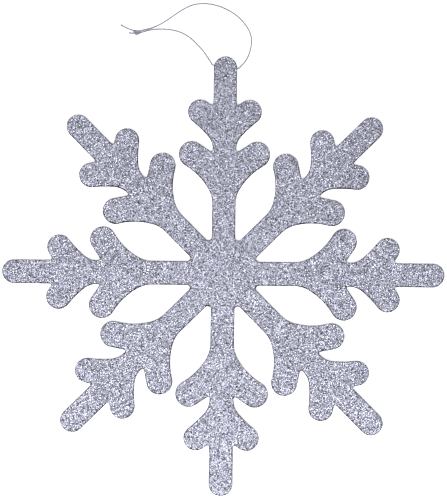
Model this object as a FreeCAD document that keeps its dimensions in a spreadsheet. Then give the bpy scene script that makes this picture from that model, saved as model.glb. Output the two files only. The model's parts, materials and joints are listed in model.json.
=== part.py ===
"""Glittered snowflake star: one laminated board, cut to an eight-armed outline, with a hanging cord.

The board lies flat. +Z is the normal of the front face and +Y runs along the arm that carries the
hanging hole. The origin is the star's centre, on the back face. All sizes are in millimetres.
"""

import FreeCAD, Part
import math
import os

import Sketcher

DOC = FreeCAD.newDocument("snowflake_star")

# ---------------------------------------------------------------- driving dimensions

SIZES = {
    # outline, going up an arm from the star's centre
    "arms": 8,                  # arms round the centre
    "stem_half": 8.0,           # half the width of a stem, and the radius of its tip
    "hub_fillet": 2.2,          # notch between two stems at the hub
    "notch_fillet": 1.2,        # notch between a branch and the stem, on the tip's side
    "inner_root_up": 48.0,      # centre to where the inner branch's lower flank leaves the stem
    "inner_root_fillet": 20.0,  # first arc of that flank
    "inner_flank": 45.0,        # second arc of that flank
    "inner_end_rise": 33.9,     # from that root up to the centre of the branch's round end
    "inner_end_radius": 8.8,
    "inner_slope": 34.0,        # upper flank, degrees above a right angle to the arm
    "arm_gap": 3.7,             # between the inner branches of two neighbouring arms
    "stem_between": 0.5,        # straight stem between the inner notch and the outer root
    "outer_root_fillet": 14.0,  # outer branch: the same sizes
    "outer_flank": 80.0,
    "outer_end_rise": 25.9,
    "outer_end_radius": 8.3,
    "outer_slope": 35.0,
    "outer_end_out": 17.0,      # centre of that end: out from the arm's axis
    "tip_rise": 38.54,          # from the outer end's centre up to the tip of the arm
    # lamination, from the back face to the front face
    "glitter": 0.3,             # thickness of each glitter coat
    "liner": 0.4,               # thickness of each card liner
    "core": 3.6,                # thickness of the core board
    # hanging hole and cord
    "hole_radius": 1.2,
    "hole_from_tip": 14.7,      # tip of the arm to the hole's centre
    "cord_diameter": 1.1,
    "tunnel_clearance": 0.08,   # radial play of the cord in the board
    "tunnel_from_tip": 6.9,     # tip of the arm to the tunnel, on the arm's axis
    "tunnel_tilt": 7.5,         # degrees by which the tunnel drops towards +X
    "cord_stub": 0.6,           # straight cord that shows beyond the stem's sides
    "knot_out": 61.4,           # knot's centre, towards -X from the arm's axis
    "knot_up": 24.0,            # knot's centre, up from the tunnel
    "knot_length": 4.8,
    "knot_width": 3.6,
    "knot_height": 2.4,
    "knot_turn": 12.0,          # degrees by which the knot's long axis drops towards +X
}

sheet = DOC.addObject("Spreadsheet::Sheet", "sizes")
for row, (alias, value) in enumerate(SIZES.items(), start=1):
    sheet.set("A%d" % row, alias)
    sheet.set("B%d" % row, str(value))
    sheet.setAlias("B%d" % row, alias)
DOC.recompute()


def worth(expression):
    """The number that an expression on the sheet gives."""
    result = sheet.evalExpression(expression)
    return float(getattr(result, "Value", result))


def size(alias):
    """A driving dimension, read back from the sheet."""
    return worth("sizes." + alias)


# ---------------------------------------------------------------- dimensions worked out from them

HALF_PITCH = "180 / sizes.arms"


def notch_up(pair):
    """Height of the centre of the fillet above a branch, from the star's centre."""
    return ("(%s + (sizes.%s_end_radius + sizes.notch_fillet"
            " + (sizes.stem_half + sizes.notch_fillet - %s) * sin(sizes.%s_slope))"
            " / cos(sizes.%s_slope))" % (END_UP[pair], pair, END_OUT[pair], pair, pair))


ROOT_UP = {"inner": "sizes.inner_root_up"}
END_UP = {"inner": "(sizes.inner_root_up + sizes.inner_end_rise)"}
END_OUT = {
    "inner": "(%s * tan(%s) - (sizes.inner_end_radius + sizes.arm_gap / 2) / cos(%s))" % (
        END_UP["inner"], HALF_PITCH, HALF_PITCH),
    "outer": "sizes.outer_end_out",
}
ROOT_UP["outer"] = "(%s + sizes.stem_between)" % notch_up("inner")
END_UP["outer"] = "(%s + sizes.outer_end_rise)" % ROOT_UP["outer"]
ARM_REACH = "(%s + sizes.tip_rise)" % END_UP["outer"]
BOARD = "(sizes.core + 2 * sizes.liner)"
TUNNEL_HEIGHT = "(sizes.glitter + sizes.liner + sizes.core / 2)"
TUNNEL_UP = "(%s - sizes.tunnel_from_tip)" % ARM_REACH

# ---------------------------------------------------------------- sketching helpers

ROOT, START, END, CENTRE = -1, 1, 2, 3


def on_circle(centre, radius, towards):
    """The point at that radius from centre, on the line from centre through towards."""
    dx, dy = towards[0] - centre[0], towards[1] - centre[1]
    reach = math.hypot(dx, dy)
    return (centre[0] + radius * dx / reach, centre[1] + radius * dy / reach)


def meet(centre_a, radius_a, centre_b, radius_b):
    """The intersection of two circles that lies on the right of the way from a to b."""
    dx, dy = centre_b[0] - centre_a[0], centre_b[1] - centre_a[1]
    gap = math.hypot(dx, dy)
    along = (radius_a ** 2 - radius_b ** 2 + gap ** 2) / (2 * gap)
    across = math.sqrt(radius_a ** 2 - along ** 2)
    return (centre_a[0] + (along * dx + across * dy) / gap,
            centre_a[1] + (along * dy - across * dx) / gap)


class Outline:
    """One arm's outline in a sketch: tangent arcs and lines, each bound to the sheet."""

    def __init__(self, sketch, inset):
        self.sketch = sketch
        self.inset = inset              # expression for how far the outline stands inside the edge
        self.rules = []                 # (constraint, name or None, expression or None)
        self.last = None                # (geometry, position) where the outline has got to

    def smaller(self, alias):
        """A convex radius or a width, which the inset takes from."""
        return "(sizes.%s - %s)" % (alias, self.inset)

    def larger(self, alias):
        """A hollow radius, which the inset adds to."""
        return "(sizes.%s + %s)" % (alias, self.inset)

    def rule(self, kind, *where, expression=None):
        """Adds a constraint, bound to an expression if one is given."""
        if expression is None:
            self.rules.append((Sketcher.Constraint(kind, *where), None, None))
            return
        value = math.radians(worth(expression)) if kind == "Angle" else worth(expression)
        name = "size_%d" % len(self.rules)
        self.rules.append((Sketcher.Constraint(kind, *where, value), name, expression))

    def join(self, geometry, position):
        """Joins a new element tangentially to the last one."""
        if self.last:
            self.rule("Tangent", self.last[0], self.last[1], geometry, position)

    def line(self, begin, finish):
        """A straight run."""
        item = self.sketch.addGeometry(
            Part.LineSegment(FreeCAD.Vector(*begin, 0), FreeCAD.Vector(*finish, 0)), False)
        self.join(item, START)
        self.last = (item, END)
        return item

    def arc(self, centre, begin, finish, clockwise, radius=None):
        """A round stretch from begin to finish. radius is its expression, if it needs one."""
        reach = math.hypot(begin[0] - centre[0], begin[1] - centre[1])
        angles = [math.atan2(p[1] - centre[1], p[0] - centre[0]) for p in (begin, finish)]
        if clockwise:
            angles.reverse()
        if angles[1] < angles[0]:
            angles[1] += 2 * math.pi
        circle = Part.Circle(FreeCAD.Vector(*centre, 0), FreeCAD.Vector(0, 0, 1), reach)
        item = self.sketch.addGeometry(Part.ArcOfCircle(circle, *angles), False)
        first, second = (END, START) if clockwise else (START, END)
        self.join(item, first)
        if radius:
            self.rule("Radius", item, expression=radius)
        self.last = (item, second)
        return item, first

    def apply(self):
        """Gives the sketch its constraints and binds them."""
        self.sketch.addConstraint([rule[0] for rule in self.rules])
        for index, (_, name, expression) in enumerate(self.rules):
            if name:
                self.sketch.renameConstraint(index, name)
                self.sketch.setExpression("Constraints." + name, expression)


def draw_side(outline, side):
    """One half of the arm, from the hub's notch to the start of the round tip.

    side is +1 for the half at +X and -1 for the half at -X.
    """
    half_pitch = math.radians(worth(HALF_PITCH))
    right = side > 0
    stem = worth(outline.smaller("stem_half"))

    def place(point):
        return (side * point[0], point[1])

    def out_from_axis(item, position, expression):
        """Ties a point's distance from the arm's axis."""
        ends = (ROOT, START, item, position) if right else (item, position, ROOT, START)
        outline.rule("DistanceX", *ends, expression=expression)

    def stem_run(low, high):
        """A straight stretch of the stem's side."""
        item = outline.line(place((stem, low)), place((stem, high)))
        outline.rule("Vertical", item)
        out_from_axis(item, END, outline.smaller("stem_half"))

    # the boundary with the next arm, from the centre to the notch between the two stems
    fillet = worth(outline.larger("hub_fillet"))
    hub = (stem + fillet, (stem + fillet) / math.tan(half_pitch))
    notch = on_circle(hub, fillet, (0, 0))
    outline.last = None
    boundary = outline.line((0, 0), place(notch))
    outline.rule("Coincident", boundary, START, ROOT, START)
    outline.rule("Angle", boundary, expression="90 %s %s" % ("-" if right else "+", HALF_PITCH))
    outline.last = None
    arc, first = outline.arc(place(hub), place(notch), place((stem, hub[1])), right,
                             outline.larger("hub_fillet"))
    outline.rule("Coincident", boundary, END, arc, first)
    outline.rule("PointOnObject", arc, CENTRE, boundary)

    low = hub[1]
    for pair in ("inner", "outer"):
        end_radius = worth(outline.smaller(pair + "_end_radius"))
        root_radius = worth(outline.larger(pair + "_root_fillet"))
        flank_radius = worth(outline.larger(pair + "_flank"))
        notch_radius = worth(outline.larger("notch_fillet"))
        slope = math.radians(size(pair + "_slope"))
        root_up = worth(ROOT_UP[pair])
        end = (worth(END_OUT[pair]), worth(END_UP[pair]))
        root = (stem + root_radius, root_up)
        pocket = (stem + notch_radius, worth(notch_up(pair)))
        flank = meet(root, abs(flank_radius - root_radius), end, flank_radius + end_radius)
        first_join = on_circle(flank, flank_radius, root)
        second_join = on_circle(flank, flank_radius, end)
        normal = (-math.sin(slope), math.cos(slope))
        shoulder = (end[0] + end_radius * normal[0], end[1] + end_radius * normal[1])
        foot = (pocket[0] - notch_radius * normal[0], pocket[1] - notch_radius * normal[1])

        stem_run(low, root_up)
        arc, _ = outline.arc(place(root), place((stem, root_up)), place(first_join), right,
                             outline.larger(pair + "_root_fillet"))
        outline.rule("DistanceY", ROOT, START, arc, CENTRE, expression=ROOT_UP[pair])
        outline.arc(place(flank), place(first_join), place(second_join), right,
                    outline.larger(pair + "_flank"))
        arc, _ = outline.arc(place(end), place(second_join), place(shoulder), not right,
                             outline.smaller(pair + "_end_radius"))
        out_from_axis(arc, CENTRE, END_OUT[pair])
        outline.rule("DistanceY", ROOT, START, arc, CENTRE, expression=END_UP[pair])
        line = outline.line(place(shoulder), place(foot))
        lean = "sizes.%s_slope" % pair
        outline.rule("Angle", line, expression="180 + " + lean if right else "-" + lean)
        outline.arc(place(pocket), place(foot), place((stem, pocket[1])), right,
                    outline.larger("notch_fillet"))
        low = pocket[1]
    stem_run(low, worth(ARM_REACH) - size("stem_half"))
    return outline.last


def plane_of(body, role):
    """One of the body's own origin planes."""
    return [item for item in body.Origin.OriginFeatures if item.Role == role][0]


def star_body(label, inset, bottom, thickness):
    """A flat plate of the star's outline, as one body: an arm padded and repeated round the centre.

    inset is how far the plate stands inside the finished edge, and bottom and thickness are the
    height of its underside and its thickness, all as expressions.
    """
    body = DOC.addObject("PartDesign::Body", label)
    body.Label = label
    sketch = body.newObject("Sketcher::SketchObject", label + "_outline")
    sketch.AttachmentSupport = (plane_of(body, "XY_Plane"), [""])
    sketch.MapMode = "FlatFace"
    sketch.setExpression(".AttachmentOffset.Base.z", bottom)

    outline = Outline(sketch, inset)
    right_end = draw_side(outline, +1)
    stem = worth(outline.smaller("stem_half"))
    tip_up = worth(ARM_REACH) - size("stem_half")
    outline.last = right_end
    arc, _ = outline.arc((0, tip_up), (stem, tip_up), (-stem, tip_up), False)
    outline.rule("DistanceY", ROOT, START, arc, CENTRE, expression=ARM_REACH + " - sizes.stem_half")
    left_end = draw_side(outline, -1)
    outline.rule("Tangent", left_end[0], left_end[1], arc, END)
    outline.apply()

    pad = body.newObject("PartDesign::Pad", label + "_arm")
    pad.Profile = sketch
    pad.setExpression("Length", thickness)
    pattern = body.newObject("PartDesign::PolarPattern", label + "_arms")
    pattern.Originals = [pad]
    pattern.Axis = ([item for item in body.Origin.OriginFeatures if item.Role == "Z_Axis"][0], [""])
    pattern.Angle = 360
    pattern.setExpression("Occurrences", "sizes.arms")
    pattern.Refine = True
    body.Tip = pattern
    DOC.recompute()
    return body


# ---------------------------------------------------------------- lamination

PLATES = {
    # label: (inset, height of the underside, thickness)
    "back_glitter_coat": ("0", "0", "sizes.glitter"),
    "back_liner": ("sizes.glitter", "sizes.glitter", "sizes.liner"),
    "core_board": ("sizes.glitter", "sizes.glitter + sizes.liner", "sizes.core"),
    "front_liner": ("sizes.glitter", "sizes.glitter + sizes.liner + sizes.core", "sizes.liner"),
    "front_glitter_coat": ("0", "sizes.glitter + " + BOARD, "sizes.glitter"),
}


def round_cut(body, name, radius, length):
    """A round cut through the body, both ways from a sketch. Returns the sketch, to be attached."""
    sketch = body.newObject("Sketcher::SketchObject", name + "_circle")
    circle = Part.Circle(FreeCAD.Vector(0, 0, 0), FreeCAD.Vector(0, 0, 1), 1.0)
    sketch.addGeometry(circle, False)
    sketch.addConstraint(Sketcher.Constraint("Coincident", 0, CENTRE, ROOT, START))
    sketch.addConstraint(Sketcher.Constraint("Radius", 0, 1.0))
    sketch.renameConstraint(1, "radius")
    sketch.setExpression("Constraints.radius", radius)
    cut = body.newObject("PartDesign::Pocket", name)
    cut.Profile = sketch
    cut.Midplane = True
    cut.setExpression("Length", length)
    return sketch


def hanging_hole(body):
    """The punched hole near the tip of the +Y arm."""
    sketch = round_cut(body, body.Label + "_hole", "sizes.hole_radius", "4 * " + BOARD)
    sketch.AttachmentSupport = (plane_of(body, "XY_Plane"), [""])
    sketch.MapMode = "FlatFace"
    sketch.setExpression(".AttachmentOffset.Base.y", ARM_REACH + " - sizes.hole_from_tip")


def cord_tunnel(body):
    """The tunnel through the arm's thickness, from one side of the stem to the other."""
    sketch = round_cut(body, body.Label + "_tunnel", "sizes.cord_diameter / 2 + sizes.tunnel_clearance",
                       "4 * sizes.stem_half")
    sketch.AttachmentSupport = (plane_of(body, "YZ_Plane"), [""])
    sketch.MapMode = "FlatFace"
    sketch.AttachmentOffset = FreeCAD.Placement(
        FreeCAD.Vector(0, 0, 0), FreeCAD.Rotation(FreeCAD.Vector(0, 1, 0), -size("tunnel_tilt")))
    sketch.setExpression(".AttachmentOffset.Rotation.Angle", "-sizes.tunnel_tilt")
    sketch.setExpression(".AttachmentOffset.Base.x", TUNNEL_UP)
    sketch.setExpression(".AttachmentOffset.Base.y", TUNNEL_HEIGHT)


def checked_cut(body, cut, *arguments):
    """Makes a cut and stops if it took nothing away."""
    before = body.Shape.Volume
    cut(body, *arguments)
    DOC.recompute()
    if not body.Shape.Volume < before:
        raise SystemExit("%s cuts nothing from %s" % (cut.__name__, body.Label))


NODES = []
for label, (inset, underside, thickness) in PLATES.items():
    plate = star_body(label, inset, underside, thickness)
    checked_cut(plate, hanging_hole)
    if label == "core_board":
        checked_cut(plate, cord_tunnel)
    NODES.append(plate)

# the glittered wall round the board's edge
blank = star_body("edge_blank", "0", "sizes.glitter", BOARD)
checked_cut(blank, cord_tunnel)
inside = star_body("edge_inside", "sizes.glitter", "sizes.glitter", BOARD)
band = DOC.addObject("Part::Cut", "edge_glitter_band")
band.Label = "edge_glitter_band"
band.Base = blank
band.Tool = inside
NODES.append(band)
DOC.recompute()

# ---------------------------------------------------------------- cord

CORD = size("cord_diameter")
TUNNEL = FreeCAD.Vector(0, worth(TUNNEL_UP), worth(TUNNEL_HEIGHT))
TILT = math.radians(size("tunnel_tilt"))
AXIS = FreeCAD.Vector(math.cos(TILT), -math.sin(TILT), 0)
MOUTH = size("stem_half") / math.cos(TILT) + size("cord_stub")   # tunnel's middle to a strand's start
ARC_SHARE = 0.45    # part of the shorter run that an arc may take at each end

# Each route: the straight lead out of the mouth, then points near the mouth, as (x, y) from the
# mouth and a drop from the tunnel's height, then points on the way, as (x, y) from the tunnel's
# middle and a lift above lying flat on the floor.
ROUTES = {
    "cord_lower_run": (
        -1, 1.0,
        [(-1.9, 1.7, 0.1), (-3.4, 4.6, 0.8)],
        [(-15.2, 11.0, 0.5), (-19.8, 16.1, 0.05), (-24.6, 20.7, 0.02), (-30.2, 24.1, 0.02),
         (-36.5, 26.0, 0.02), (-43.1, 26.6, 0.04), (-49.6, 26.4, 0.05), (-55.0, 25.2, 0.2),
         (-60.2, 23.3, 0.7)]),
    "cord_upper_run": (
        +1, 1.0,
        [(2.3, 1.4, 0.1), (3.8, 3.5, 0.7)],
        [(15.0, 6.2, 0.9), (17.1, 12.6, 0.3), (18.0, 18.5, 0.04), (16.9, 24.3, 0.02),
         (14.0, 29.5, 0.02), (9.9, 34.4, 0.02), (4.6, 38.6, 0.02), (-1.6, 41.9, 0.02),
         (-8.4, 44.2, 0.02), (-15.4, 45.0, 0.02), (-22.4, 44.3, 0.02), (-28.8, 41.9, 0.02),
         (-34.8, 38.1, 0.02), (-40.6, 33.9, 0.02), (-46.6, 30.5, 0.02), (-52.3, 27.9, 0.1),
         (-56.5, 26.1, 0.3), (-60.2, 24.9, 0.7)]),
}

# Tails beyond the knot, as (x, y) from the tunnel's middle and a lift above lying flat.
TAILS = {
    "cord_tail": [(-63.0, 25.0, 0.7), (-66.0, 25.9, 0.3), (-69.6, 27.5, 0.02), (-72.8, 29.4, 0.02)],
    "cord_tail_short": [(-63.2, 23.4, 0.7), (-65.2, 23.3, 0.3), (-67.2, 23.7, 0.02)],
}


def lying(x, y, lift):
    """A point of the cord's centre line, from the tunnel's middle and its lift above the floor."""
    return FreeCAD.Vector(TUNNEL.x + x, TUNNEL.y + y, CORD / 2 + lift)


def strand_points(side, lead, near, far):
    """The route of one strand, from the tunnel's mouth to the knot."""
    mouth = TUNNEL + AXIS * side * MOUTH
    points = [mouth, mouth + AXIS * side * lead]
    points += [mouth + FreeCAD.Vector(x, y, -drop) for x, y, drop in near]
    points += [lying(*point) for point in far]
    return points


def rounded_path(points):
    """Straight runs joined by tangent arcs, as one wire, and the arcs' radii."""
    edges, radii = [], []
    begin = points[0]
    for before, corner, after in zip(points, points[1:], points[2:]):
        back, on = before - corner, after - corner
        turn = math.pi - back.getAngle(on)
        cut = ARC_SHARE * min(back.Length, on.Length)
        radius = cut / math.tan(turn / 2)
        back.normalize()
        on.normalize()
        first, last = corner + back * cut, corner + on * cut
        inwards = (back + on).normalize()
        middle = corner + inwards * (radius / math.cos(turn / 2) - radius)
        edges.append(Part.LineSegment(begin, first).toShape())
        edges.append(Part.Arc(first, middle, last).toShape())
        radii.append(radius)
        begin = last
    edges.append(Part.LineSegment(begin, points[-1]).toShape())
    return Part.Wire(edges), radii


def tube(label, points):
    """A round cord along the points."""
    path, radii = rounded_path(points)
    section = Part.Wire(Part.makeCircle(CORD / 2, points[0], points[1] - points[0]))
    solid = path.makePipeShell([section], True, False)
    expected = math.pi * (CORD / 2) ** 2 * path.Length
    print("%s: length %.1f, volume %.2f of %.2f, smallest radius %.2f, radii %s" % (
        label, path.Length, solid.Volume, expected, min(radii),
        " ".join("%.1f" % radius for radius in radii)))
    if abs(solid.Volume - expected) > 0.01 * expected:
        raise SystemExit("%s has the wrong volume" % label)
    feature = DOC.addObject("Part::Feature", label)
    feature.Label = label
    feature.Shape = solid
    return feature


threaded = DOC.addObject("Part::Cylinder", "cord_threaded_run")
threaded.Label = "cord_threaded_run"
threaded.setExpression("Radius", "sizes.cord_diameter / 2")
threaded.setExpression("Height", "2 * (sizes.stem_half / cos(sizes.tunnel_tilt) + sizes.cord_stub)")
threaded.Placement = FreeCAD.Placement(TUNNEL - AXIS * MOUTH,
                                       FreeCAD.Rotation(FreeCAD.Vector(0, 0, 1), AXIS))
NODES.append(threaded)

for label, route in ROUTES.items():
    NODES.append(tube(label, strand_points(*route)))
for label, points in TAILS.items():
    NODES.append(tube(label, [lying(*point) for point in points]))

knot = DOC.addObject("Part::Ellipsoid", "cord_knot")
knot.Label = "cord_knot"
knot.setExpression("Radius1", "sizes.knot_height / 2")
knot.setExpression("Radius2", "sizes.knot_length / 2")
knot.setExpression("Radius3", "sizes.knot_width / 2")
knot.Placement = FreeCAD.Placement(
    FreeCAD.Vector(-size("knot_out"), TUNNEL.y + size("knot_up"), size("knot_height") / 2),
    FreeCAD.Rotation(FreeCAD.Vector(0, 0, 1), -size("knot_turn")))
NODES.append(knot)

# ---------------------------------------------------------------- check and write

DOC.recompute()
for item in DOC.Objects:
    if "Invalid" in item.State or "Error" in item.State:
        raise SystemExit("%s did not build: %s" % (item.Label, item.State))
os.makedirs("parts", exist_ok=True)
for node in NODES:
    shape = node.Shape
    if shape.isNull() or not shape.isValid() or not shape.Solids:
        raise SystemExit("%s has no valid solid" % node.Label)
    shape.exportStep(os.path.join("parts", node.Label + ".step"))
    box = shape.BoundBox
    print("%s: %d solid, volume %.1f, x %.2f..%.2f, y %.2f..%.2f, z %.3f..%.3f" % (
        node.Label, len(shape.Solids), shape.Volume, box.XMin, box.XMax, box.YMin, box.YMax,
        box.ZMin, box.ZMax))
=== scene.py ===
import sys  # noqa: E702
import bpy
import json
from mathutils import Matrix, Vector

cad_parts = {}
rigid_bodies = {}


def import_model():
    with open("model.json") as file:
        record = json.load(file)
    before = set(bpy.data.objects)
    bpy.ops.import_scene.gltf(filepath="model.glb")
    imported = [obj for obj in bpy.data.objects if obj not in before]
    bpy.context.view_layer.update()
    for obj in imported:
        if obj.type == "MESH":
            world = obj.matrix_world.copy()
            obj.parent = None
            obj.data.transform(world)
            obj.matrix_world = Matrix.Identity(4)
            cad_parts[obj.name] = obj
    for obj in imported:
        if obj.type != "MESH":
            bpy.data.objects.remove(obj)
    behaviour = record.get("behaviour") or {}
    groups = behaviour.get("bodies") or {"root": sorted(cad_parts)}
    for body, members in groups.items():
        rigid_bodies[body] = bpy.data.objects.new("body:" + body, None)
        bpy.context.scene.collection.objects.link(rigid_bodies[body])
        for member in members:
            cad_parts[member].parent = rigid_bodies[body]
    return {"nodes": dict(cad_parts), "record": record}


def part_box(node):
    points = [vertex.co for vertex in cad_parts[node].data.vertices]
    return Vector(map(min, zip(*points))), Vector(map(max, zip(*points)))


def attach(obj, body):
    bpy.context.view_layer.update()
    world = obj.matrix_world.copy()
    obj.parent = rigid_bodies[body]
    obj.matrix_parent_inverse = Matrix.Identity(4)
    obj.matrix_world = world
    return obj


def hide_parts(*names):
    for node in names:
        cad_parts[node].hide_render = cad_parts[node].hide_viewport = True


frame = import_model()

"""The looks of a glittered snowflake star of laminated board on its thin silver hanging cord.

Everything is in metres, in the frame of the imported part: the star lies face up on the floor, its
centre at the origin, with +Y towards the arm that has the hanging hole and +Z up through its
5 mm thickness.
"""

import json
import logging
import math
from dataclasses import dataclass
from enum import Enum

import bmesh
import bpy
import numpy as np
from mathutils import Vector
from mathutils.bvhtree import BVHTree

LOG = logging.getLogger("snowflake_star")
MM = 0.001
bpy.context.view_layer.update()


# ----------------------------------------------------------------------------------- small helpers


def linear(colour: str) -> tuple[float, float, float, float]:
    """Turns an sRGB hex colour into the linear values that shaders take.

    Args:
        colour: Six hex digits with a leading hash.

    Returns:
        Red, green, blue and alpha, linear.
    """
    parts = [int(colour[i : i + 2], 16) / 255 for i in (1, 3, 5)]
    curve = [c / 12.92 if c <= 0.04045 else ((c + 0.055) / 1.055) ** 2.4 for c in parts]
    return curve[0], curve[1], curve[2], 1.0


def add_node(
    tree: bpy.types.NodeTree, kind: str, inputs: dict | None = None, **settings: object
) -> bpy.types.Node:
    """Adds one shader node with its settings, values and links.

    Args:
        tree: The node tree it goes into.
        kind: The node's Blender type name.
        inputs: Input name or number to a value, or to the output socket that feeds it.
        **settings: Node properties, such as operation.

    Returns:
        The new node.
    """
    node = tree.nodes.new(kind)
    for name, value in settings.items():
        setattr(node, name, value)
    for key, value in (inputs or {}).items():
        if isinstance(value, bpy.types.NodeSocket):
            tree.links.new(value, node.inputs[key])
        else:
            node.inputs[key].default_value = value
    return node


def blank_material(name: str) -> tuple[bpy.types.Material, bpy.types.NodeTree]:
    """Makes an empty node material.

    Args:
        name: Its name.

    Returns:
        The material and its cleared node tree.
    """
    material = bpy.data.materials.new(name)
    material.use_nodes = True
    material.node_tree.nodes.clear()
    return material, material.node_tree


def give_surface(tree: bpy.types.NodeTree, shader: bpy.types.Node) -> None:
    """Joins a shader to a new material output."""
    add_node(tree, "ShaderNodeOutputMaterial", {"Surface": shader.outputs[0]})


def only(obj: bpy.types.Object) -> None:
    """Leaves obj as the one selected and active object, in object mode."""
    if bpy.context.object and bpy.context.object.mode != "OBJECT":
        bpy.ops.object.mode_set(mode="OBJECT")
    for other in bpy.context.view_layer.objects:
        other.select_set(False)
    obj.hide_set(False)
    obj.select_set(True)
    bpy.context.view_layer.objects.active = obj


def dress(obj: bpy.types.Object, *materials: bpy.types.Material) -> None:
    """Gives obj these materials, in slot order, in place of what it has."""
    obj.data.materials.clear()
    for material in materials:
        obj.data.materials.append(material)


def corners_of(obj: bpy.types.Object) -> np.ndarray:
    """The corner points of every triangle of obj, as an array of n by 3 by 3 in metres."""
    mesh = obj.data
    mesh.calc_loop_triangles()
    points = np.empty(len(mesh.vertices) * 3)
    mesh.vertices.foreach_get("co", points)
    corners = np.empty(len(mesh.loop_triangles) * 3, np.int32)
    mesh.loop_triangles.foreach_get("vertices", corners)
    return points.reshape(-1, 3)[corners.reshape(-1, 3)]


# ---------------------------------------------------------------------------------------- finishes


class FlakeTone(Enum):
    """The tones of the silver-lilac glitter.

    Each is a colour, a roughness, its share on the faces and its share on the rims and edge; the rim and edge
    shares lean to the dark tones, which are painted shade.
    """

    SPARK = ("#d9daee", 0.36, 0.15, 0.00)
    LIGHT = ("#9fa0b1", 0.40, 0.27, 0.00)
    MIDDLE = ("#6d6e7c", 0.44, 0.21, 0.03)
    DEEP = ("#2c2d34", 0.50, 0.25, 0.22)
    SHADED = ("#0a0a0c", 0.54, 0.12, 0.75)


@dataclass(frozen=True)
class PolyesterFlake:
    """Cut polyester film glitter: the bright tones are small soft mirrors, the two dark ones are matt and
    shineless, so the painted shade they carry on the rims stays dark.
    """

    tone: FlakeTone
    metallic: float = 0.5
    shine: float = 0.5

    def build(self) -> bpy.types.Material:
        """Makes the material of one tone of flakes."""
        colour, roughness = self.tone.value[:2]
        bright = self.tone not in (FlakeTone.DEEP, FlakeTone.SHADED)
        material, tree = blank_material("polyester_glitter_" + self.tone.name.lower())
        shader = add_node(
            tree,
            "ShaderNodeBsdfPrincipled",
            {
                "Base Color": linear(colour),
                "Metallic": self.metallic if bright else 0.0,
                "Roughness": roughness,
                "Specular IOR Level": self.shine if bright else 0.0,
            },
        )
        give_surface(tree, shader)
        return material


@dataclass(frozen=True)
class GlitterBed:
    """Fine glitter dusted into glue, under the larger flakes: small tilted grains, each its own tone."""

    name: str = "glued_glitter_bed"
    dark: str = "#222326"
    middle: str = "#6b6c76"
    light: str = "#b1b2c1"
    grain_mm: float = 0.45
    lean: float = 1.0
    metallic: float = 0.45
    shine: float = 0.5

    def build(self) -> bpy.types.Material:
        """Makes the material of the glued bed, from cells as wide as one grain."""
        material, tree = blank_material(self.name)
        place = add_node(tree, "ShaderNodeTexCoord")
        grain = add_node(
            tree,
            "ShaderNodeTexVoronoi",
            {"Vector": place.outputs["Object"], "Scale": 1 / (self.grain_mm * MM), "Randomness": 1.0},
            voronoi_dimensions="3D",
        )
        parts = add_node(tree, "ShaderNodeSeparateColor", {"Color": grain.outputs["Color"]})
        tone = add_node(tree, "ShaderNodeValToRGB", {"Fac": parts.outputs["Blue"]})
        ramp = tone.color_ramp
        ramp.elements[0].color, ramp.elements[1].color = linear(self.dark), linear(self.light)
        middle = ramp.elements.new(0.5)
        middle.color = linear(self.middle)
        centred = add_node(
            tree,
            "ShaderNodeVectorMath",
            {0: grain.outputs["Color"], 1: (0.5, 0.5, 0.5)},
            operation="SUBTRACT",
        )
        leaned = add_node(
            tree, "ShaderNodeVectorMath", {0: centred.outputs[0], "Scale": self.lean}, operation="SCALE"
        )
        facing = add_node(tree, "ShaderNodeNewGeometry")
        mixed = add_node(
            tree, "ShaderNodeVectorMath", {0: facing.outputs["Normal"], 1: leaned.outputs[0]}, operation="ADD"
        )
        grain_normal = add_node(tree, "ShaderNodeVectorMath", {0: mixed.outputs[0]}, operation="NORMALIZE")
        shader = add_node(
            tree,
            "ShaderNodeBsdfPrincipled",
            {
                "Base Color": tone.outputs["Color"],
                "Metallic": self.metallic,
                "Roughness": 0.42,
                "Specular IOR Level": self.shine,
                "Normal": grain_normal.outputs[0],
            },
        )
        give_surface(tree, shader)
        return material


@dataclass(frozen=True)
class Paperboard:
    """Pressed pulp board or paper: matt, with fibres that show as faint streaks and specks."""

    name: str
    colour: str
    speck: str
    fibre_mm: float = 0.35
    depth_mm: float = 0.03

    def build(self) -> bpy.types.Material:
        """Makes the board's material, with its fibres as coarse as fibre_mm."""
        material, tree = blank_material(self.name)
        place = add_node(tree, "ShaderNodeTexCoord")
        stretch = add_node(
            tree, "ShaderNodeMapping", {"Vector": place.outputs["Object"], "Scale": (1.0, 0.35, 1.0)}
        )
        fibre = add_node(
            tree,
            "ShaderNodeTexNoise",
            {
                "Vector": stretch.outputs[0],
                "Scale": 1 / (self.fibre_mm * MM),
                "Detail": 4.0,
                "Roughness": 0.6,
            },
        )
        colour = add_node(tree, "ShaderNodeValToRGB", {"Fac": fibre.outputs["Fac"]})
        colour.color_ramp.elements[0].position, colour.color_ramp.elements[1].position = 0.3, 0.62
        colour.color_ramp.elements[0].color = linear(self.speck)
        colour.color_ramp.elements[1].color = linear(self.colour)
        bump = add_node(
            tree,
            "ShaderNodeBump",
            {"Height": fibre.outputs["Fac"], "Distance": self.depth_mm * MM, "Strength": 0.6},
        )
        shader = add_node(
            tree,
            "ShaderNodeBsdfPrincipled",
            {"Base Color": colour.outputs["Color"], "Roughness": 0.85, "Normal": bump.outputs["Normal"]},
        )
        give_surface(tree, shader)
        return material


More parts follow.
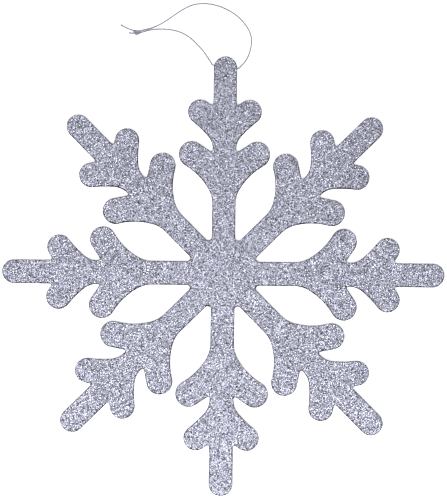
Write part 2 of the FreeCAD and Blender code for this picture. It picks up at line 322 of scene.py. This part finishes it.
@dataclass(frozen=True)
class MetallicThread:
    """Lurex yarn: a flat silver film wound round a pale core, so it glints in short streaks along the ply."""

    colour: str = "#adaebb"
    shade: str = "#81828f"
    glint_mm: float = 0.5
    glints_round: float = 6.0

    def build(self) -> bpy.types.Material:
        """Makes the yarn's material, whose pattern follows the ply by the piece's UV map in mm."""
        material, tree = blank_material("lurex_yarn")
        along = add_node(tree, "ShaderNodeUVMap", uv_map="ply")
        stretch = add_node(
            tree,
            "ShaderNodeMapping",
            {"Vector": along.outputs["UV"], "Scale": (1 / self.glint_mm, self.glints_round, 1.0)},
        )
        streak = add_node(
            tree,
            "ShaderNodeTexNoise",
            {"Vector": stretch.outputs[0], "Scale": 1.0, "Detail": 3.0, "Roughness": 0.65},
        )
        colour = add_node(tree, "ShaderNodeValToRGB", {"Fac": streak.outputs["Fac"]})
        colour.color_ramp.elements[0].position, colour.color_ramp.elements[1].position = 0.32, 0.66
        colour.color_ramp.elements[0].color = linear(self.shade)
        colour.color_ramp.elements[1].color = linear(self.colour)
        rough = add_node(
            tree,
            "ShaderNodeMapRange",
            {"Value": streak.outputs["Fac"], "From Min": 0.3, "From Max": 0.7, "To Min": 0.55, "To Max": 0.3},
        )
        bump = add_node(
            tree, "ShaderNodeBump", {"Height": streak.outputs["Fac"], "Distance": 0.02 * MM, "Strength": 0.5}
        )
        shader = add_node(
            tree,
            "ShaderNodeBsdfPrincipled",
            {
                "Base Color": colour.outputs["Color"],
                "Metallic": 0.25,
                "Roughness": rough.outputs["Result"],
                "Normal": bump.outputs["Normal"],
            },
        )
        give_surface(tree, shader)
        return material


@dataclass(frozen=True)
class SeamlessPaper:
    """The floor: matt white paper with hardly any tooth, on a light table that lights it from below."""

    colour: str = "#f7f7f8"
    glow: float = 0.6
    tooth_mm: float = 2.0

    def build(self) -> bpy.types.Material:
        """Makes the floor's material."""
        material, tree = blank_material("seamless_paper")
        place = add_node(tree, "ShaderNodeTexCoord")
        tooth = add_node(
            tree, "ShaderNodeTexNoise", {"Vector": place.outputs["Object"], "Scale": 1 / (self.tooth_mm * MM)}
        )
        bump = add_node(
            tree, "ShaderNodeBump", {"Height": tooth.outputs["Fac"], "Distance": 0.01 * MM, "Strength": 0.2}
        )
        shader = add_node(
            tree,
            "ShaderNodeBsdfPrincipled",
            {
                "Base Color": linear(self.colour),
                "Roughness": 0.9,
                "Normal": bump.outputs["Normal"],
                "Emission Color": linear("#ffffff"),
                "Emission Strength": self.glow,
            },
        )
        give_surface(tree, shader)
        return material


# -------------------------------------------------------------------------------------- the studio


@dataclass
class Studio:
    """The camera above the star, the pale floor and the soft light."""

    eye: tuple[float, float, float] = (0.018259, -0.157821, 1.356298)
    turn_deg: tuple[float, float, float] = (7.32721, 0.67831, 0.68852)
    lens_mm: float = 144.586
    sky: float = 0.3
    floor_size: float = 4.0
    floor_drop: float = 0.25 * MM

    def set_camera(self) -> None:
        """Adds the camera, a long lens a little below the upright above the star's centre."""
        bpy.ops.object.camera_add(
            location=self.eye, rotation=[math.radians(angle) for angle in self.turn_deg]
        )
        camera = bpy.context.object
        camera.name = "camera"
        camera.data.sensor_width = 36.0
        camera.data.lens = self.lens_mm
        camera.data.clip_start, camera.data.clip_end = 0.05, 20.0
        bpy.context.scene.camera = camera

    def set_floor(self) -> None:
        """Adds the floor, a wide sheet of paper at about the level of the lowest flakes."""
        bpy.ops.mesh.primitive_plane_add(size=self.floor_size, location=(0, 0, -self.floor_drop))
        floor = bpy.context.object
        floor.name = "floor"
        dress(floor, SeamlessPaper().build())

    def lamp(self, name: str, place: tuple, aim: tuple, size: float, watts: float) -> None:
        """Adds a square softbox.

        Args:
            name: What it is called.
            place: Its centre.
            aim: The point that it faces.
            size: Its side.
            watts: Its power.
        """
        away = Vector(aim) - Vector(place)
        turn = away.to_track_quat("-Z", "Y").to_euler()
        bpy.ops.object.light_add(type="AREA", location=place, rotation=turn)
        light = bpy.context.object
        light.name = name
        light.data.shape = "SQUARE"
        light.data.size = size
        light.data.energy = watts

    def set_light(self) -> None:
        """Adds the softboxes and the even light of the room."""
        self.lamp("overhead_softbox", (-0.1, -0.44, 1.1), (0, 0, 0), 0.7, 15)
        self.lamp("far_softbox", (-0.4, 1.5, 1.2), (0, 0.05, 0), 0.6, 1.2)
        world = bpy.data.worlds.new("studio_room")
        world.use_nodes = True
        background = world.node_tree.nodes["Background"]
        background.inputs["Color"].default_value = linear("#fafaff")
        background.inputs["Strength"].default_value = self.sky
        bpy.context.scene.world = world
        bpy.context.scene.view_settings.view_transform = "Standard"

    def build(self) -> None:
        """Sets the camera, floor and light."""
        self.set_camera()
        self.set_floor()
        self.set_light()


# -------------------------------------------------------------------------------- the hanging cord


@dataclass
class Ply:
    """Thin yarns twisted together along a line, which is how the cord is laid."""

    diameter: float = 1.1 * MM
    plies: int = 3
    pitch: float = 3.0 * MM
    rings_a_turn: int = 11
    sides: int = 8

    def centreline(self, name: str, route: list[tuple[float, float, float]]) -> np.ndarray:
        """The smooth line of a route, read from a NURBS spline that has its points as control points.

        Args:
            name: What the spline is for.
            route: The route's points.

        Returns:
            Points along the line, evenly spaced.
        """
        curve = bpy.data.curves.new(name + "_line", "CURVE")
        curve.dimensions = "3D"
        curve.resolution_u = 24
        spline = curve.splines.new("NURBS")
        spline.points.add(len(route) - 1)
        for point, place in zip(spline.points, route):
            point.co = (*place, 1.0)
        spline.order_u = 3
        spline.use_endpoint_u = True
        carrier = bpy.data.objects.new(name + "_line", curve)
        bpy.context.scene.collection.objects.link(carrier)
        bpy.context.view_layer.update()
        line = bpy.data.meshes.new_from_object(carrier)
        points = np.array([vertex.co for vertex in line.vertices], float)
        bpy.data.objects.remove(carrier)
        bpy.data.curves.remove(curve)
        bpy.data.meshes.remove(line)
        return self.spaced(points)

    def spaced(self, points: np.ndarray) -> np.ndarray:
        """The same line with its points a ring apart.

        Args:
            points: Points along a line.

        Returns:
            Points along it, evenly spaced.
        """
        run = np.r_[0, np.cumsum(np.linalg.norm(np.diff(points, axis=0), axis=1))]
        count = max(4, int(round(run[-1] / (self.pitch / self.rings_a_turn))))
        stops = np.linspace(0, run[-1], count + 1)
        return np.stack([np.interp(stops, run, points[:, axis]) for axis in range(3)], axis=1)

    def lay(self, name: str, line: np.ndarray, swell: np.ndarray | None = None) -> bpy.types.Object:
        """Twists the plies along a line and closes their ends.

        Args:
            name: The piece's name.
            line: Evenly spaced points of the centreline.
            swell: How far the plies stand off at each point, as a share, for a frayed end.

        Returns:
            The cord as one mesh.
        """
        tangent = np.gradient(line, axis=0)
        tangent /= np.linalg.norm(tangent, axis=1)[:, None]
        across = np.cross(tangent[0], (0.0, 0.0, 1.0))
        across /= np.linalg.norm(across)
        normals = []
        for direction in tangent:
            across = across - direction * (across @ direction)
            across /= np.linalg.norm(across)
            normals.append(across)
        normal = np.array(normals)
        binormal = np.cross(tangent, normal)
        thick = self.diameter / 2 / (1 + 2 / math.sqrt(3))
        off = thick * 2 / math.sqrt(3)
        step = np.linalg.norm(line[1] - line[0])
        spread = np.ones(len(line)) if swell is None else swell
        points, faces, uvs = [], [], []
        for ply in range(self.plies):
            angle = 2 * math.pi * (np.arange(len(line)) * step / self.pitch + ply / self.plies)
            radial = np.cos(angle)[:, None] * normal + np.sin(angle)[:, None] * binormal
            centre = line + radial * (off * spread)[:, None]
            way = np.gradient(centre, axis=0)
            way /= np.linalg.norm(way, axis=1)[:, None]
            side = np.cross(way, radial)
            side /= np.linalg.norm(side, axis=1)[:, None]
            up = np.cross(side, way)
            first = len(points) * self.sides
            turns = 2 * np.pi * np.arange(self.sides) / self.sides
            for ring in range(len(line)):
                outline = np.cos(turns)[:, None] * up[ring] + np.sin(turns)[:, None] * side[ring]
                points.append(centre[ring] + thick * outline)
            for ring in range(len(line) - 1):
                low, high = first + ring * self.sides, first + (ring + 1) * self.sides
                for k in range(self.sides):
                    after = (k + 1) % self.sides
                    faces.append((low + k, low + after, high + after, high + k))
                    u0, u1 = ring * step / MM, (ring + 1) * step / MM
                    v0, v1 = ply * 2 + k / self.sides, ply * 2 + (k + 1) / self.sides
                    uvs.append(((u0, v0), (u0, v1), (u1, v1), (u1, v0)))
            last = first + (len(line) - 1) * self.sides
            faces.append(tuple(first + k for k in reversed(range(self.sides))))
            uvs.append(((0.0, 0.0),) * self.sides)
            faces.append(tuple(last + k for k in range(self.sides)))
            uvs.append(((0.0, 0.0),) * self.sides)
        mesh = bpy.data.meshes.new(name)
        mesh.from_pydata(np.concatenate(points).tolist(), [], faces)
        layer = mesh.uv_layers.new(name="ply")
        flat = [value for face in uvs for uv in face for value in uv]
        layer.data.foreach_set("uv", np.array(flat, np.float32))
        mesh.update()
        piece = bpy.data.objects.new(name, mesh)
        bpy.context.scene.collection.objects.link(piece)
        mesh.polygons.foreach_set("use_smooth", [len(face) == 4 for face in faces])
        return piece


@dataclass
class HangingCord:
    """The cord: through the arm, two strands to a knot on the floor, and two short tails past it."""

    body: str = "hanging_loop"
    diameter: float = 1.1 * MM
    tunnel: tuple[float, float, float] = (0.0, 143.101 * MM, 2.5 * MM)
    tilt_deg: float = 7.5
    arm_half: float = 8.0 * MM
    stub: float = 0.6 * MM
    knot_half: tuple[float, float, float] = (1.95 * MM, 1.1 * MM, 0.68 * MM)
    knot_turn_deg: float = -12.0
    knot_shift: float = 0.42 * MM
    knot_points: int = 220
    fray: float = 0.7
    ply: Ply = None

    lower: tuple = (
        (-1, 0.5),
        ((-1.4, 1.7, 0.1), (-3.3, 4.6, 0.8)),
        (
            (-15.2, 11.0, 0.5), (-19.8, 16.1, 0.05), (-24.6, 20.7, 0.02), (-30.2, 24.1, 0.02),
            (-36.5, 26.0, 0.02), (-43.1, 26.6, 0.04), (-49.6, 26.4, 0.05), (-55.0, 25.2, 0.2),
            (-60.2, 23.3, 0.7),
        ),
    )
    upper: tuple = (
        (1, 0.5),
        ((1.8, 1.4, 0.1), (3.7, 3.5, 0.7)),
        (
            (15.0, 6.2, 0.9), (17.1, 12.6, 0.3), (18.0, 18.5, 0.04), (16.9, 24.3, 0.02),
            (14.0, 29.5, 0.02), (9.9, 34.4, 0.02), (4.6, 38.6, 0.02), (-1.6, 41.9, 0.02),
            (-8.4, 44.2, 0.02), (-15.4, 45.0, 0.02), (-22.4, 44.3, 0.02), (-28.8, 41.4, 0.02),
            (-34.8, 37.3, 0.02), (-40.6, 32.9, 0.02), (-46.6, 29.2, 0.02), (-52.3, 26.9, 0.1),
            (-56.5, 25.9, 0.3), (-60.2, 24.8, 0.7),
        ),
    )
    long_tail: tuple = ((-63.0, 25.0, 0.7), (-66.0, 25.9, 0.3), (-69.6, 27.5, 0.02), (-72.8, 29.4, 0.02))
    short_tail: tuple = ((-63.2, 23.4, 0.7), (-65.2, 23.3, 0.3), (-67.2, 23.7, 0.02))

    def on_floor(self, points: tuple) -> list[tuple[float, float, float]]:
        """Places points that lie on the floor, given as offsets from the tunnel and a lift, in mm.

        Args:
            points: Rows of X, Y past the tunnel, and lift above lying flat.

        Returns:
            The points in metres.
        """
        return [(x * MM, self.tunnel[1] + y * MM, self.diameter / 2 + lift * MM) for x, y, lift in points]

    def strand(self, run: tuple) -> list[tuple[float, float, float]]:
        """The route of one strand from its mouth in the arm's side to the knot.

        Args:
            run: The side and lead, the drop to the floor, and the points on the floor.

        Returns:
            The route's points in metres.
        """
        (side, lead), drop, floor_points = run
        tilt = math.radians(self.tilt_deg)
        axis = Vector((math.cos(tilt), -math.sin(tilt), 0.0))
        start = Vector(self.tunnel) + axis * side * (self.arm_half / math.cos(tilt) + self.stub)
        straight = start + axis * side * lead * MM
        falling = [start + Vector((x * MM, y * MM, -down * MM)) for x, y, down in drop]
        return [tuple(start), tuple(straight), *map(tuple, falling), *self.on_floor(floor_points)]

    def knot_lines(self) -> list[np.ndarray]:
        """Two side-by-side lines of an overhand knot that is pulled tight, about the knot's centre."""
        low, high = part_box("cord_knot")
        centre = (np.array(low) + np.array(high)) / 2
        half = self.knot_half
        turn = math.radians(self.knot_turn_deg)
        lines = []
        for shift in (-self.knot_shift, self.knot_shift):
            t = np.linspace(0, 2 * math.pi, self.knot_points)
            wide = (np.sin(t) + 2 * np.sin(2 * t)) / 2.7
            tall = (np.cos(t) - 2 * np.cos(2 * t)) / 2.9
            deep = -np.sin(3 * t)
            points = np.stack((wide * half[0], tall * half[1], deep * half[2]), axis=1)
            outward = points[:, :2] / np.linalg.norm(points[:, :2], axis=1)[:, None]
            points[:, :2] += outward * shift
            spun = points.copy()
            spun[:, 0] = points[:, 0] * math.cos(turn) - points[:, 1] * math.sin(turn)
            spun[:, 1] = points[:, 0] * math.sin(turn) + points[:, 1] * math.cos(turn)
            lines.append(self.ply.spaced(spun + centre))
        return lines

    def finish_piece(
        self, piece: bpy.types.Object, yarn: bpy.types.Material, node: str
    ) -> bpy.types.Object:
        """Dresses a piece of the cord and ties it to its body, in place of its plain solid."""
        dress(piece, yarn)
        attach(piece, self.body)
        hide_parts(node)
        LOG.info("%s: %d faces", piece.name, len(piece.data.polygons))
        return piece

    def build(self) -> None:
        """Makes the strands, the threaded length, the knot and the tails."""
        self.ply = Ply(self.diameter)
        yarn = MetallicThread().build()
        knot_parts = [self.ply.lay(f"knot_{i}", line) for i, line in enumerate(self.knot_lines())]
        only(knot_parts[0])
        knot_parts[1].select_set(True)
        bpy.ops.object.join()
        knot = bpy.context.object
        knot.name = "cord_overhand_knot"
        self.finish_piece(knot, yarn, "cord_knot")
        tails = []
        for name, node, points in (
            ("cord_long_tail", "cord_tail", self.long_tail),
            ("cord_short_tail", "cord_tail_short", self.short_tail),
        ):
            line = self.ply.centreline(name, self.on_floor(points))
            open_end = 1 + self.fray * np.clip(np.linspace(-6, 1, len(line)), 0, 1)
            tails.append(self.finish_piece(self.ply.lay(name, line, open_end), yarn, node))
        ends = [self.strand(self.lower)[0], self.strand(self.upper)[0]]
        threaded = self.ply.spaced(np.array(ends))
        self.finish_piece(self.ply.lay("cord_through_arm", threaded), yarn, "cord_threaded_run")
        for name, node, run, length, beside in (
            ("cord_lower_strand", "cord_lower_run", self.lower, 0.0630, [knot]),
            ("cord_upper_strand", "cord_upper_run", self.upper, 0.1187, tails),
        ):
            route = self.strand(run)
            line = self.ply.centreline(name, route)
            strand = self.finish_piece(self.ply.lay(name, line), yarn, node)


# ---------------------------------------------------------------------------------------- the star


@dataclass
class GlitterShell:
    """The glued glitter bed that wraps the board: both faces, the rounded rims and the edge all round."""

    body: str = "star"
    thickness: float = 5.0 * MM
    rim: float = 0.95 * MM
    rim_steps: int = 4
    hole_radius: float = 1.2 * MM
    hole_dip: float = 0.5 * MM
    hole_region: float = 2.6 * MM
    tuck: float = 0.03 * MM
    smooth_deg: float = 35.0

    def __post_init__(self) -> None:
        """Finds the hanging hole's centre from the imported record."""
        mount = next(m for m in frame["record"]["mounts"] if m["name"] == "hang_hole")
        self.hole = np.array(mount["pos_m"][:2])

    def near_hole(self, place: Vector, reach: float) -> bool:
        """True if place is within reach of the hole's centre line."""
        return math.hypot(place.x - self.hole[0], place.y - self.hole[1]) < reach

    def face_region(self) -> bpy.types.Object:
        """A copy of the front coat's flat face as one open sheet."""
        source = frame["nodes"]["front_glitter_coat"]
        shell = source.copy()
        shell.data = source.data.copy()
        for key in list(shell.keys()):
            del shell[key]
        shell.parent = None
        shell.name = "glitter_shell"
        bpy.context.scene.collection.objects.link(shell)
        only(shell)
        mesh = bmesh.new()
        mesh.from_mesh(shell.data)
        bmesh.ops.remove_doubles(mesh, verts=mesh.verts, dist=0.002 * MM)
        top = self.thickness - 0.01 * MM
        unwanted = [
            face for face in mesh.faces if face.normal.z < 0.99 or face.calc_center_median().z < top
        ]
        bmesh.ops.delete(mesh, geom=unwanted, context="FACES")
        mesh.to_mesh(shell.data)
        mesh.free()
        bpy.ops.object.mode_set(mode="EDIT")
        return shell

    def select_edges(self, shell: bpy.types.Object, test: object) -> int:
        """Selects in edit mode the edges that a test picks, and no others.

        Args:
            shell: The mesh in edit mode.
            test: Takes a bmesh edge and says whether it is wanted.

        Returns:
            How many edges are selected.
        """
        bpy.ops.mesh.select_mode(type="EDGE")
        bpy.ops.mesh.select_all(action="DESELECT")
        mesh = bmesh.from_edit_mesh(shell.data)
        wanted = [edge for edge in mesh.edges if test(edge)]
        for edge in wanted:
            edge.select = True
        mesh.select_flush_mode()
        bmesh.update_edit_mesh(shell.data)
        return len(wanted)

    def rim_edge(self, edge: object) -> bool:
        """True for an open edge round the star's outline."""
        middle = (edge.verts[0].co + edge.verts[1].co) / 2
        return edge.is_boundary and not self.near_hole(middle, self.hole_region)

    def hole_edge(self, edge: object) -> bool:
        """True for an open edge round the hanging hole."""
        middle = (edge.verts[0].co + edge.verts[1].co) / 2
        return edge.is_boundary and self.near_hole(middle, self.hole_region)

    def build(self) -> bpy.types.Object:
        """Shapes the shell from one face: fill the hole, round the rim, mirror it and close the wall."""
        shell = self.face_region()
        self.select_edges(shell, self.hole_edge)
        bpy.ops.mesh.edge_face_add()
        bpy.ops.mesh.select_all(action="SELECT")
        bpy.ops.mesh.normals_make_consistent(inside=False)
        mesh = bmesh.from_edit_mesh(shell.data)
        if sum(face.normal.z * face.calc_area() for face in mesh.faces) < 0:
            bpy.ops.mesh.flip_normals()
        bpy.ops.transform.translate(value=(0, 0, -self.rim))
        stops = [math.radians(90 * k / self.rim_steps) for k in range(self.rim_steps + 1)]
        for a, b in zip(stops, stops[1:]):
            mesh = bmesh.from_edit_mesh(shell.data)
            bpy.ops.mesh.select_mode(type="FACE")
            bpy.ops.mesh.select_all(action="DESELECT")
            level = max(vertex.co.z for vertex in mesh.verts)
            for face in mesh.faces:
                face.select = all(vertex.co.z > level - 0.001 * MM for vertex in face.verts)
            bmesh.update_edit_mesh(shell.data)
            bpy.ops.mesh.inset(
                thickness=self.rim * (math.cos(a) - math.cos(b)),
                depth=self.rim * (math.sin(b) - math.sin(a)),
                use_boundary=True,
                use_even_offset=True,
            )
        LOG.info("rim rounded in %d steps", self.rim_steps)
        mesh = bmesh.from_edit_mesh(shell.data)
        plugs = [
            face for face in mesh.faces
            if all(self.near_hole(vertex.co, self.hole_radius + 0.05 * MM) for vertex in face.verts)
        ]
        bmesh.ops.delete(mesh, geom=plugs, context="FACES")
        bmesh.update_edit_mesh(shell.data)
        self.select_edges(shell, self.hole_edge)
        reach, level = self.hole_radius, self.thickness
        pivot = (*self.hole, self.thickness)
        wider = (reach + self.hole_dip) / reach
        bpy.ops.transform.resize(value=(wider, wider, 1.0), center_override=pivot)
        reach += self.hole_dip
        for stop in stops[1:]:
            wanted = self.hole_radius - self.tuck + (self.hole_dip + self.tuck) * (1 - math.sin(stop))
            fall = self.thickness - self.hole_dip * (1 - math.cos(stop)) - level
            bpy.ops.mesh.extrude_region_move(TRANSFORM_OT_translate={"value": (0, 0, fall)})
            bpy.ops.transform.resize(value=(wanted / reach, wanted / reach, 1.0), center_override=pivot)
            reach, level = wanted, level + fall
        bpy.ops.mesh.select_all(action="SELECT")
        bpy.ops.mesh.duplicate()
        bpy.ops.transform.resize(value=(1, 1, -1), center_override=(0, 0, self.thickness / 2))
        bpy.ops.mesh.flip_normals()
        self.select_edges(shell, self.rim_edge)
        bpy.ops.mesh.bridge_edge_loops()
        self.select_edges(shell, self.hole_edge)
        bpy.ops.mesh.bridge_edge_loops()
        bpy.ops.mesh.select_all(action="SELECT")
        bpy.ops.mesh.normals_make_consistent(inside=False)
        bpy.ops.object.mode_set(mode="OBJECT")
        bpy.ops.object.shade_smooth_by_angle(angle=math.radians(self.smooth_deg))
        # The rims, the wall and the hole's lining get a near-black, shineless bed: painted shade.
        painted_shade_edge_bed = GlitterBed(
            "glued_glitter_edge_painted_shade", dark="#0b0b0d", middle="#141417", light="#26262b", metallic=0.0, shine=0.0
        )
        dress(shell, GlitterBed().build(), painted_shade_edge_bed.build())
        for face in shell.data.polygons:
            face.material_index = int(abs(face.normal.z) < 0.9)
            face.use_smooth = abs(face.normal.z) < 0.99
        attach(shell, self.body)
        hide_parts("front_glitter_coat", "back_glitter_coat", "edge_glitter_band")
        LOG.info("glitter_shell: %d faces", len(shell.data.polygons))
        return shell


@dataclass
class LooseGlitter:
    """The hexagonal flakes strewn over the glued bed, each leaning its own way."""

    shell: GlitterShell
    cord: HangingCord
    across: float = 0.5 * MM
    cover: float = 0.5
    lean_deg: float = 13
    sink: float = 0.02 * MM
    stand: float = 0.14 * MM
    edge_sink: float = 0.16 * MM
    arms: int = 8
    # edge_turn and edge_fade bound the painted shade: flakes on slopes, and flakes within edge_fade of the
    # wall, take darker tones.
    edge_turn: float = 0.06
    edge_fade: float = 1.1 * MM
    hole_lap: float = 0.2
    cord_gap: float = 0.6
    seed: int = 8215

    def flake(self) -> np.ndarray:
        """The outline of one flake, six points about the origin, modelled once and then strewn."""
        bpy.ops.mesh.primitive_circle_add(
            vertices=6, radius=self.across / 2, fill_type="NOTHING", location=(0, 0, 0)
        )
        model = bpy.context.object
        points = np.array([vertex.co for vertex in model.data.vertices], float)
        mesh = model.data
        bpy.data.objects.remove(model)
        bpy.data.meshes.remove(mesh)
        return points

    def in_the_clear(self, place: np.ndarray) -> np.ndarray:
        """True for the places that are off the hanging hole and off the cord's way through the arm."""
        hole = self.shell.hole
        off_hole = np.hypot(place[:, 0] - hole[0], place[:, 1] - hole[1])
        tilt = math.radians(self.cord.tilt_deg)
        axis = (math.cos(tilt), -math.sin(tilt), 0.0)
        off_cord = np.linalg.norm(np.cross(place - self.cord.tunnel, axis), axis=1)
        clear = off_hole > self.shell.hole_radius + self.across * self.hole_lap
        return clear & (off_cord > self.cord.diameter / 2 + self.across * self.cord_gap)

    def paint_edge_shade(
        self, corners: np.ndarray, cross: np.ndarray, place: np.ndarray, level: np.ndarray
    ) -> np.ndarray:
        """How far each place takes the dark tones of painted shade at the edge.

        Args:
            corners: The bed's triangles.
            cross: Their normals, as long as twice their area.
            place: The flakes' places.
            level: How level the bed is under each, 1 for the faces and 0 for the wall.

        Returns:
            A share for each place, from 0 well inside the faces to 1 on the rims and wall.
        """
        edge_shade = np.clip((1 - level) / self.edge_turn, 0, 1)
        wall = np.flatnonzero(np.abs(cross[:, 2]) < 0.9 * np.linalg.norm(cross, axis=1))
        tree = BVHTree.FromPolygons(
            corners[wall].reshape(-1, 3).tolist(), np.arange(3 * len(wall)).reshape(-1, 3).tolist()
        )
        flat = np.flatnonzero(level > 0.99)
        reach = [tree.find_nearest(place[k], self.edge_fade)[3] or self.edge_fade for k in flat]
        edge_shade[flat] = np.clip(1 - np.array(reach) / self.edge_fade, 0, 1)
        return edge_shade

    def strew(self, bed: bpy.types.Object) -> dict[str, np.ndarray]:
        """Picks where flakes lie on the bed and how they lean.

        Args:
            bed: The glitter shell.

        Returns:
            Places, facing directions, tilted normals and how much painted edge shade each place takes.
        """
        corners = corners_of(bed)
        cross = np.cross(corners[:, 1] - corners[:, 0], corners[:, 2] - corners[:, 0])
        area = np.linalg.norm(cross, axis=1) / 2
        middle = corners.mean(axis=1)
        in_hole = np.hypot(middle[:, 0] - self.shell.hole[0], middle[:, 1] - self.shell.hole[1]) < (
            self.shell.hole_radius + 0.1 * MM
        )
        area = np.where(in_hole, 0.0, area)
        flake_area = 3 * math.sqrt(3) / 2 * (self.across / 2) ** 2
        count = int(self.cover * area.sum() / flake_area)
        dice = np.random.default_rng(self.seed)
        pick = dice.choice(len(area), count, p=area / area.sum())
        u, v = dice.random(count), dice.random(count)
        over = u + v > 1
        u[over], v[over] = 1 - u[over], 1 - v[over]
        a, b, c = corners[pick, 0], corners[pick, 1], corners[pick, 2]
        place = a + (b - a) * u[:, None] + (c - a) * v[:, None]
        facing = cross[pick] / np.linalg.norm(cross[pick], axis=1)[:, None]
        lean = np.tan(np.radians(self.lean_deg)) * dice.normal(size=(count, 3))
        lean -= facing * (lean * facing).sum(axis=1)[:, None]
        normal = facing + lean
        normal /= np.linalg.norm(normal, axis=1)[:, None]
        clear = self.in_the_clear(place)
        level = np.abs(facing[:, 2])
        edge_shade = self.paint_edge_shade(corners, cross, place, level)
        stand = dice.uniform(self.sink, self.stand, count) - self.edge_sink * (1 - level)
        place = place + facing * stand[:, None]
        flakes = {"place": place, "facing": facing, "normal": normal, "edge_shade": edge_shade}
        return {key: value[clear] for key, value in flakes.items()}

    def piece(
        self,
        name: str,
        places: np.ndarray,
        edge_shade: np.ndarray,
        normals: np.ndarray,
        outline: np.ndarray,
        dice: np.random.Generator,
    ) -> bpy.types.Object:
        """Makes one piece of flakes as a single mesh.

        Args:
            name: Its name.
            places: The flakes' centres.
            edge_shade: How far each place takes the dark tones of painted shade at the edge.
            normals: The ways they face themselves.
            outline: One flake's outline.
            dice: The source of each flake's spin and tone.

        Returns:
            The piece.
        """
        count = len(places)
        spin = dice.uniform(0, 2 * math.pi, count)
        guide = np.stack((np.cos(spin), np.sin(spin), 0.3 * np.sin(spin * 2)), axis=1)
        first = np.cross(normals, guide)
        first /= np.linalg.norm(first, axis=1)[:, None]
        second = np.cross(normals, first)
        size = dice.uniform(0.72, 1.12, count)[:, None, None]
        corners = places[:, None, :] + size * (
            outline[None, :, 0:1] * first[:, None, :] + outline[None, :, 1:2] * second[:, None, :]
        )
        mesh = bpy.data.meshes.new(name)
        sides = len(outline)
        mesh.vertices.add(count * sides)
        mesh.vertices.foreach_set("co", corners.astype(np.float32).ravel())
        mesh.loops.add(count * sides)
        mesh.loops.foreach_set("vertex_index", np.arange(count * sides, dtype=np.int32))
        mesh.polygons.add(count)
        mesh.polygons.foreach_set("loop_start", np.arange(0, count * sides, sides, dtype=np.int32))
        mesh.polygons.foreach_set("loop_total", np.full(count, sides, dtype=np.int32))
        on_face = np.array([tone.value[2] for tone in FlakeTone])
        on_edge = np.array([tone.value[3] for tone in FlakeTone])
        # Near the rims and the wall the tones shift to the dark ones: painted shade.
        shares = on_face * (1 - edge_shade[:, None]) + on_edge * edge_shade[:, None]
        throw = dice.random((count, 1)) * shares.sum(axis=1, keepdims=True)
        tones = (throw > shares.cumsum(axis=1)).sum(axis=1)
        mesh.polygons.foreach_set("material_index", tones.astype(np.int32))
        mesh.update(calc_edges=True)
        mesh.validate()
        flakes = bpy.data.objects.new(name, mesh)
        bpy.context.scene.collection.objects.link(flakes)
        return flakes

    def build(self, bed: bpy.types.Object) -> None:
        """Strews the flakes and parts them into the arms of each face and the edge.

        Args:
            bed: The glitter shell that they lie on.
        """
        outline = self.flake()
        spread = self.strew(bed)
        materials = [PolyesterFlake(tone).build() for tone in FlakeTone]
        bearing = np.degrees(np.arctan2(spread["place"][:, 0], spread["place"][:, 1])) % 360
        arm = np.floor((bearing + 180 / self.arms) / (360 / self.arms)).astype(int) % self.arms
        up = spread["facing"][:, 2]
        groups = {}
        for k in range(self.arms):
            groups[f"glitter_front_arm_{k}"] = (up > 0.35) & (arm == k)
            groups[f"glitter_back_arm_{k}"] = (up < -0.35) & (arm == k)
        for half, chosen in (("upper", spread["place"][:, 1] >= 0), ("lower", spread["place"][:, 1] < 0)):
            groups[f"glitter_edge_{half}"] = (np.abs(up) <= 0.35) & chosen
        for number, (name, chosen) in enumerate(groups.items()):
            dice = np.random.default_rng(self.seed + 1 + number)
            chosen_flakes = (spread[key][chosen] for key in ("place", "edge_shade", "normal"))
            flakes = self.piece(name, *chosen_flakes, outline, dice)
            dress(flakes, *materials)
            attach(flakes, self.shell.body)
            LOG.info("%s: %d flakes", name, int(chosen.sum()))


@dataclass
class BoardCore:
    """The board and its two paper liners, which show only inside the hanging hole."""

    def build(self) -> None:
        """Dresses the core and the liners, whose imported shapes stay."""
        board = Paperboard("grey_pulp_board", "#c9c8c6", "#a3a19e").build()
        paper = Paperboard("white_liner_paper", "#eceae6", "#d9d6d0", fibre_mm=0.2).build()
        for node, finish in (("core_board", board), ("front_liner", paper), ("back_liner", paper)):
            dress(frame["nodes"][node], finish)
            LOG.info("%s dressed", node)


def main() -> None:
    logging.basicConfig(level=logging.INFO, format="%(name)s: %(message)s", stream=sys.stdout)
    Studio().build()
    cord = HangingCord()
    cord.build()
    shell = GlitterShell()
    bed = shell.build()
    LooseGlitter(shell, cord).build(bed)
    BoardCore().build()


if __name__ == "__main__":
    main()
